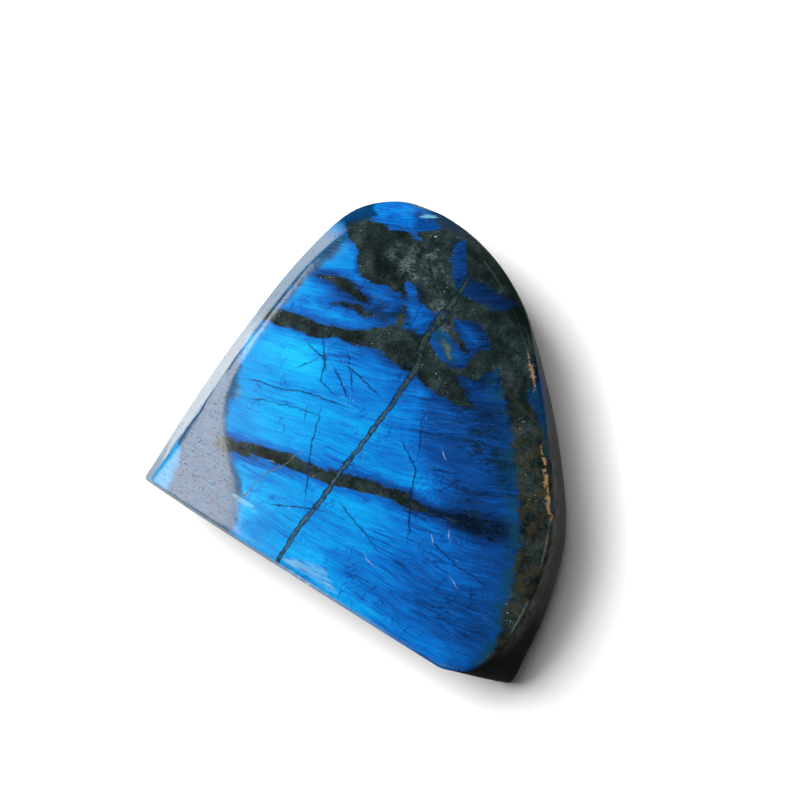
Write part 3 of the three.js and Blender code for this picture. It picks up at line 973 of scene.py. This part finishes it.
def face_colour(surface):
    """The polished face: blue flash, dark feldspar that takes no part in it, cracks and flecks."""
    bent, crooked, ragged, fringe = surface.bent, surface.crooked, surface.ragged, surface.fringe
    streaks = streaky(surface.lamellar, (0.06, 0.6, 0.3), 4, 0.65) - 0.5
    windows = deepest(bent, FLASH_STROKES) + ragged * 0.3 + fringe * 0.4
    dark_share = smooth(surface.dark, -0.25, 0.5) * (1 - smooth(windows, -0.3, 0.45))
    dark_share = larger(dark_share, smooth(surface.margin, -0.9, 1.1))
    colour = blend(flash_colour(surface, streaks), feldspar_colour(surface), dark_share)

    # cracks, with pale flecks beside them
    crack_depth = deepest(crooked, CRACKS, True)
    brown = smooth(stroke(crooked, BROWN_CRACK, True), -0.12, 0.08)
    pale = smooth(deepest(crooked, PALE_CRACKS, True), -0.12, 0.06)
    sparks = smooth(streaky(surface.lamellar, (1.4, 2.4, 1.5), 1), 0.73, 0.78)
    sparks = sparks * smooth(surface.clouds, 0.44, 0.6)
    spark_share = sparks * larger(smooth(crack_depth, -1.5, -0.3), dark_share * 0.8, 0.1)
    haze = smooth(deepest(bent, HAZE_STROKES) + fringe, -0.8, 1.2)
    colour = blend(colour, HAZE, haze * smooth(streaks, -0.1, 0.12) * 0.6)
    colour = blend(colour, CRACK_COLOUR, smooth(crack_depth, -0.14, 0.16) * 0.85)
    colour = blend(colour, BROWN, brown)
    colour = blend(colour, SPARK, larger(spark_share, pale * 0.45))
    copper = smooth(deepest(bent, COPPER_STROKES) + fringe * 0.3, -0.3, 0.3)
    return blend(colour, COPPER, copper * smooth(noise(surface.place, 0.9, 3), 0.4, 0.55))


def flash_colour(surface, streaks):
    """The blue flash, with its teal, golden and speckled places and its paler left margin."""
    bent, ragged, fringe, mottle = surface.bent, surface.ragged, surface.fringe, surface.mottle
    fine_lines = lines(surface.lamellar, (0.09, 1.6, 0.5), 0.11)
    flash = ramp(flash_level(surface, streaks, fine_lines), FLASH)
    at_margin = smooth(surface.margin, -5.5, -0.4) * smooth(mottle, 0.36, 0.56)
    flash = blend(flash, DEEP_TEAL, at_margin * 0.75)
    teal = smooth(deepest(bent, TEAL_STROKES) + fringe * 0.5, -0.8, 0.8)
    flash = blend(flash, DEEP_TEAL, teal * 0.8)
    golden = smooth(deepest(bent, GOLDEN_STROKES) + fringe * 0.5, -0.3, 0.8)
    flash = blend(flash, GOLDEN_TEAL, golden * smooth(mottle, 0.35, 0.6) * 0.65)
    flash = blend(flash, CORNER_BLUE, smooth(stroke(bent, LIT_CORNER), -2, 1) * 0.8)
    left_margin = smooth(deepest(bent, LEFT_MARGIN) + ragged * 0.3 + fringe * 0.6, -1.4, 1.2)
    margin_colour = blend(MARGIN_BLUE, MARGIN_GREY, smooth(mottle, 0.35, 0.6))
    flash = blend(flash, blend(margin_colour, CRACK_COLOUR, fine_lines * 0.7), left_margin)
    speckles = smooth(streaky(surface.lamellar, (0.3, 0.8, 0.5), 3, 0.6), 0.48, 0.6)
    return blend(flash, SPECKLE, smooth(deepest(bent, SPECKLED) + ragged * 0.5, -3, 4) * speckles * 0.8)


def flash_level(surface, streaks, fine_lines):
    """How brightly each place of the face flashes, from 0 to 1."""
    bent, lamellar = surface.bent, surface.lamellar
    patches = streaky(lamellar, (0.05, 0.16, 0.1), 3, 0.55) - 0.5
    coarse_lines = lines(lamellar, (0.022, 0.5, 0.3), 0.03, 3)
    lit_lines = lines(vector_sum(lamellar, (40, 7, 3)), (0.05, 0.8, 0.4), 0.05)
    line_share = smooth(streaky(lamellar, (0.07, 0.12, 0.1), 2), 0.4, 0.62)
    web_place = vector_sum(turned(bent, 70), (0, 30, 0))
    web = lines(web_place, (0.1, 0.26, 0.2), 0.02, 3) * smooth(noise(surface.place, 0.07, 1), 0.48, 0.6)
    along_picture = dot(surface.place, (math.cos(TURN) / REACH_SPAN, math.sin(TURN) / REACH_SPAN, 0))
    places, heights = zip(*FLASH_REACH)
    level = graph(along_picture, places, heights, False) + patches * 0.4 + streaks * 0.22
    for points, amount in SHADES:
        level = level + smooth(stroke(bent, points), *SHADE_SOFTNESS) * amount
    level = level - smooth(surface.dark, -3.2, 0) * 0.2
    return level - coarse_lines * line_share * 0.15 - fine_lines * 0.08 + lit_lines * 0.05 - web * 0.16


def feldspar_colour(surface):
    """The dark feldspar: mottled, browner at the right, with pale fibres that cross."""
    mottle, clouds = surface.mottle, surface.clouds
    fibre_place = wobbled(surface.place, 0.12, 2, (6, 6, 3))
    fibres = larger(
        lines(turned(fibre_place, 58), (0.2, 1.2, 0.5), 0.06),
        lines(turned(fibre_place, 20), (0.25, 1.3, 0.5), 0.05),
        lines(turned(fibre_place, -45), (0.25, 1.1, 0.5), 0.04),
    )
    fibrous = smooth(deepest(surface.bent, FIBROUS), -3, 2)
    feldspar = ramp(mottle * 0.9 + (clouds - 0.5) * 0.7 + fibrous * 0.07, FELDSPAR)
    brown_share = surface.right_side * smooth(noise(surface.place, 0.35, 3, 0.6), 0.42, 0.62)
    feldspar = blend(feldspar, BROWN_FELDSPAR, brown_share * smooth(surface.margin, -2, 0.5) * 0.8)
    return blend(feldspar, FIBRE, fibres * (0.12 + 0.6 * fibrous) * smooth(mottle + clouds, 0.8, 1.2))


bpy.context.scene.view_settings.view_transform = "Standard"
make_camera()
make_lights()
make_floor()
stone, stone_shift = make_stone()
stone.data.materials.append(make_stone_material(stone_shift, "labradorite_polished", True))
stone.data.materials.append(make_stone_material(stone_shift, "labradorite_ground", False))
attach(stone, "root")
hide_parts(STONE)
